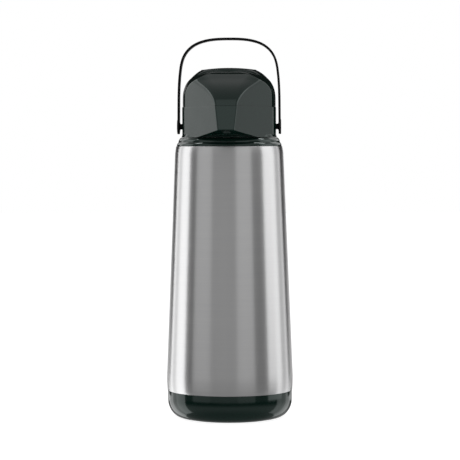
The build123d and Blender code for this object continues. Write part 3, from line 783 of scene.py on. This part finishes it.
def folded_bellows():
    """Bellows with rounded folds."""
    folds = 5
    wall = 1.2
    pitch = (PLUNGER_Z - 0.2 - PLATE_Z) / folds
    outside = [(20.4, PLATE_Z + 0.05, 0)]
    for fold in range(folds):
        outside.append((24.4, PLATE_Z + (fold + 0.5) * pitch, 0.9))
        outside.append((20.4, PLATE_Z + (fold + 1) * pitch, 0.7))
    outside[-1] = (20.4, PLUNGER_Z - 0.25, 0)
    inside = [(r - wall, z, min(fillet, 0.7)) for r, z, fillet in reversed(outside)]
    points, faces = lathe(rounded(outside + inside, 4), 128)
    slot = SLOTS["bellows"]
    shorten(add_piece(
        "folded_bellows", points, faces, LOOKS[slot], "pump_head", slot, ["bellows"], crease=50.0,
    ))


def coil_spring():
    """Return spring wound round the spring guide."""
    steps, count, wire, radius = 160, 12, 0.85, 9.6
    pitch, height = 6.9, 28.2
    vertices = []
    for step in range(steps + 1):
        turn = math.tau * height / pitch * step / steps
        rise = PLATE_Z + 1.0 + height * step / steps
        centre = Vector((radius * math.cos(turn), radius * math.sin(turn), rise))
        outward = Vector((math.cos(turn), math.sin(turn), 0))
        along = Vector((-radius * math.sin(turn), radius * math.cos(turn), pitch / math.tau)).normalized()
        up = outward.cross(along)
        for k in range(count):
            angle = math.tau * k / count
            vertices.append(tuple(centre + (outward * math.cos(angle) + up * math.sin(angle)) * wire))
    slot = SLOTS["return_spring"]
    faces = sweep_faces(steps + 1, count)
    shorten(add_piece("coil_spring", vertices, faces, LOOKS[slot], "pump_head", slot, ["return_spring"]))


folded_bellows()
coil_spring()

# ---------------------------------------------------------------- floor, studio and camera
FLOOR_HALF = 6.0


def pale_floor():
    """White floor that the pot stands on."""
    mesh = bpy.data.meshes.new("floor")
    corners = [(-FLOOR_HALF, -FLOOR_HALF, 0), (FLOOR_HALF, -FLOOR_HALF, 0)]
    corners += [(FLOOR_HALF, FLOOR_HALF, 0), (-FLOOR_HALF, FLOOR_HALF, 0)]
    mesh.from_pydata(corners, [], [(0, 1, 2, 3)])
    floor = bpy.data.objects.new("floor", mesh)
    bpy.context.scene.collection.objects.link(floor)
    material, _, shader = new_material("pale_floor")
    shader.inputs["Base Color"].default_value = (0.5, 0.5, 0.5, 1)
    shader.inputs["Roughness"].default_value = 1.0
    shader.inputs["Specular IOR Level"].default_value = 0.0
    shader.inputs["Emission Color"].default_value = (1, 1, 1, 1)
    shader.inputs["Emission Strength"].default_value = 0.9
    mesh.materials.append(material)
    floor.visible_glossy = False


def studio_world():
    """White to the camera; in reflections a pale strip behind, a grey ceiling and dark elsewhere."""
    world = bpy.data.worlds.new("studio")
    bpy.context.scene.world = world
    world.use_nodes = True
    tree = world.node_tree
    parts = node(tree, "ShaderNodeSeparateXYZ")
    tree.links.new(node(tree, "ShaderNodeTexCoord").outputs["Generated"], parts.inputs[0])
    x, y, z = parts.outputs
    front = span(tree, y, 0.2, -0.5, 0.0, 1.0, smooth=True)
    raised = span(tree, z, 0.16, 0.38, 0.0, 1.0, smooth=True)
    high = calc(tree, "MULTIPLY", raised, span(tree, z, 0.4, 0.9, 0.56, 0.42))
    aside = span(tree, calc(tree, "ABSOLUTE", x), 0.3, 0.7, 0.42, 0.26)
    ceiling = span(tree, z, aside, calc(tree, "ADD", aside, 0.16), 0.0, 0.42, smooth=True)
    edge = span(tree, z, -0.05, 0.0, 0.82, 0.945)
    behind = span(tree, y, edge, calc(tree, "ADD", edge, 0.04), 0.0, 1.0, smooth=True)
    off_level = calc(tree, "ABSOLUTE", calc(tree, "SUBTRACT", z, -0.02))
    strip = span(tree, off_level, 0.11, 0.15, 0.7, 0.0, smooth=True)
    lowered = span(tree, z, -0.14, -0.36, 0.0, 0.36)
    below = calc(tree, "MULTIPLY", lowered, span(tree, z, -0.8, -0.5, 0.5, 1.0))
    over_under = calc(tree, "MAXIMUM", ceiling, below)
    back = calc(tree, "MAXIMUM", calc(tree, "MULTIPLY", behind, strip), over_under)
    level = calc(tree, "ADD", calc(tree, "MAXIMUM", back, calc(tree, "MULTIPLY", front, high)), 0.01)
    path = node(tree, "ShaderNodeLightPath")
    shown = node(tree, "ShaderNodeMix", data_type="FLOAT")
    feed(tree, shown.inputs[0], path.outputs["Is Camera Ray"])
    feed(tree, shown.inputs[2], level)
    feed(tree, shown.inputs[3], 1.0)
    tree.links.new(shown.outputs[0], tree.nodes["Background"].inputs["Strength"])
    tree.nodes["Background"].inputs["Color"].default_value = (1, 1, 1, 1)


def soft_box(name, place, facing, width, height, level, lit=()):
    """Rectangular soft box of even radiance, facing away from its own outward direction."""
    light = bpy.data.lights.new(name, "AREA")
    light.shape = "RECTANGLE"
    light.size = width
    light.size_y = height
    light.energy = level * math.pi * width * height
    made = bpy.data.objects.new(name, light)
    made.location = place
    made.rotation_mode = "QUATERNION"
    made.rotation_quaternion = facing.to_track_quat("Z", "Y")
    made.visible_camera = False
    bpy.context.scene.collection.objects.link(made)
    if lit:
        group = bpy.data.collections.new(name + "_lit")
        for piece in lit:
            group.objects.link(bpy.data.objects[piece])
        made.light_linking.receiver_collection = group


def upright_panel(name, start, end, level, low=-0.4, high=1.6, radius=2.2, lit=()):
    """Upright soft box that fills the azimuths from start to end, between two heights."""
    turn = math.radians((start + end) / 2)
    away = Vector((math.sin(turn), -math.cos(turn), 0))
    width = 2 * radius * math.tan(math.radians(abs(end - start) / 2))
    soft_box(name, away * radius + Vector((0, 0, (low + high) / 2)), away, width, high - low, level, lit)


def raised_box(name, azimuth, elevation, width, height, level, lit):
    """Soft box two metres from the head, aimed at it, that shines on some pieces only."""
    turn, tilt = math.radians(azimuth), math.radians(elevation)
    away = Vector((math.sin(turn) * math.cos(tilt), -math.cos(turn) * math.cos(tilt), math.sin(tilt)))
    soft_box(name, Vector((0, 0, 0.28)) + away * 2.0, away, width, height, level, lit)


def studio_lights():
    """Panels round the pot; azimuth 0 is the camera's side and left of the camera is negative."""
    collar = ["ribbed_collar"]
    upright_panel("left_base", -150, -135, 1.2, low=-1.9, high=-0.2)
    upright_panel("left_edge", -135, -127, 1.5, low=-1.9)
    upright_panel("left_back", -127, -114, 0.92, low=-1.9)
    upright_panel("left_main", -114, -88, 1.5, low=-1.9)
    upright_panel("left_gap", -88, -69, 0.10, low=-0.22)
    upright_panel("left_fill", -69, -34, 0.54, low=-0.22, high=1.0)
    upright_panel("front_fill", -34, 16, 0.40, low=-0.22, high=0.6)
    upright_panel("right_fill", 16, 49, 0.55, low=-0.22, high=1.1)
    upright_panel("right_gap", 49, 76, 0.12, low=-0.22)
    upright_panel("right_main", 76, 112, 1.35, low=-0.2)
    upright_panel("right_low", 99, 112, 0.85, low=-1.9, high=-0.2)
    upright_panel("right_back", 112, 127, 0.60, low=-1.9)
    upright_panel("right_edge", 127, 135, 1.0, low=-1.9)
    upright_panel("right_base", 135, 150, 0.9, low=-1.9, high=-0.2)
    upright_panel("left_collar", -160, -134, 1.0, low=0.55, high=1.9, lit=collar)
    upright_panel("right_collar", 136, 160, 1.25, low=0.55, high=1.9, lit=collar)
    raised_box("left_glint", -95, 55, 0.3, 0.9, 9.0, collar)
    raised_box("right_glint", 105, 52, 0.3, 0.9, 9.0, collar)
    raised_box("nose_fill", -3, 35, 1.6, 2.2, 0.35, ["upper_shell", "lower_shell"])


def photo_camera():
    """Camera a little right of the beak, at the height of the casing's top."""
    distance = 1.978
    frame_width = 0.460
    height = 0.2715
    turn = math.radians(2.3)
    aim_height = 0.18765
    roll = math.radians(-0.17)
    data = bpy.data.cameras.new("camera")
    camera = bpy.data.objects.new("camera", data)
    bpy.context.scene.collection.objects.link(camera)
    camera.location = (distance * math.sin(turn), -distance * math.cos(turn), height)
    aim_right = 0.0005
    target = Vector((0, 0, aim_height)) + aim_right * Vector((math.cos(turn), math.sin(turn), 0))
    camera.rotation_mode = "QUATERNION"
    upright = (camera.location - target).to_track_quat("Z", "Y")
    camera.rotation_quaternion = upright @ Quaternion((0, 0, 1), roll)
    data.sensor_width = 36.0
    data.lens = data.sensor_width * distance / frame_width
    data.clip_end = 30.0
    bpy.context.scene.camera = camera
    bpy.context.scene.view_settings.view_transform = "Standard"


pale_floor()
studio_world()
studio_lights()
photo_camera()
